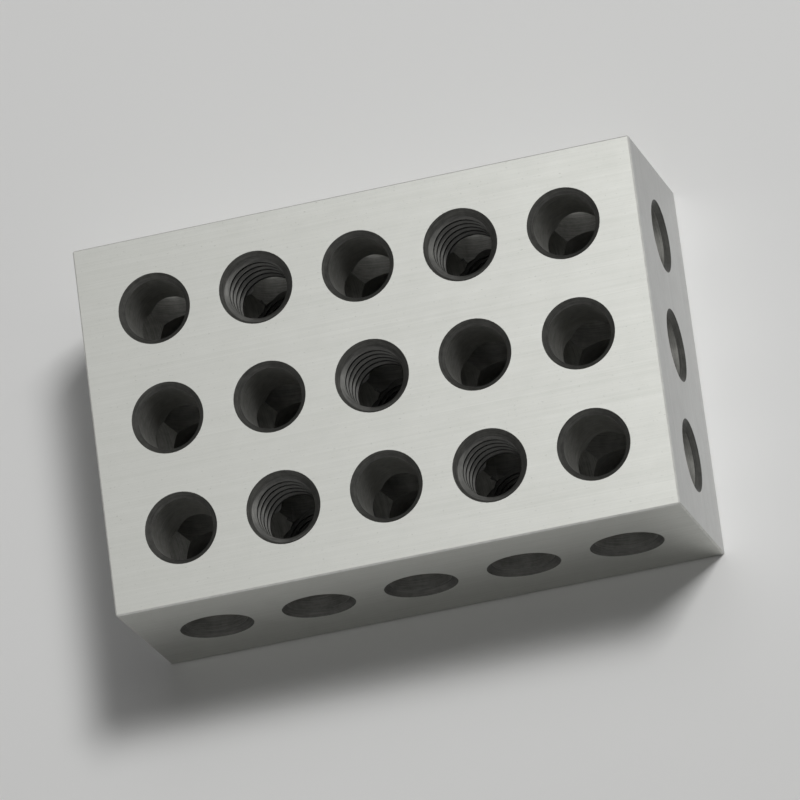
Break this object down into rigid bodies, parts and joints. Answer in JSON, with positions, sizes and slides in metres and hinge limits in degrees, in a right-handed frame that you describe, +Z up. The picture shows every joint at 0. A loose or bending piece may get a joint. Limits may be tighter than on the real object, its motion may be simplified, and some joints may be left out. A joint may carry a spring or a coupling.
{
  "type": "machinist setup block",
  "caption": "Rectangular ground steel setup block with a grid of plain and tapped through holes crossing on all three axes, for raising, squaring and clamping work.",
  "frame": {"origin": "centre of the large ground face that the block lies on", "axes": "+X along the 3 in length, +Y across the 2 in width, +Z up through the 1 in thickness, out of the upper large face"},
  "size_m": [0.0762, 0.0508, 0.0254],
  "materials": {
    "ground_steel": "satin"
  },
  "bodies": {
    "root": {"setup_block": "ground_steel"}
  },
  "joints": []
}
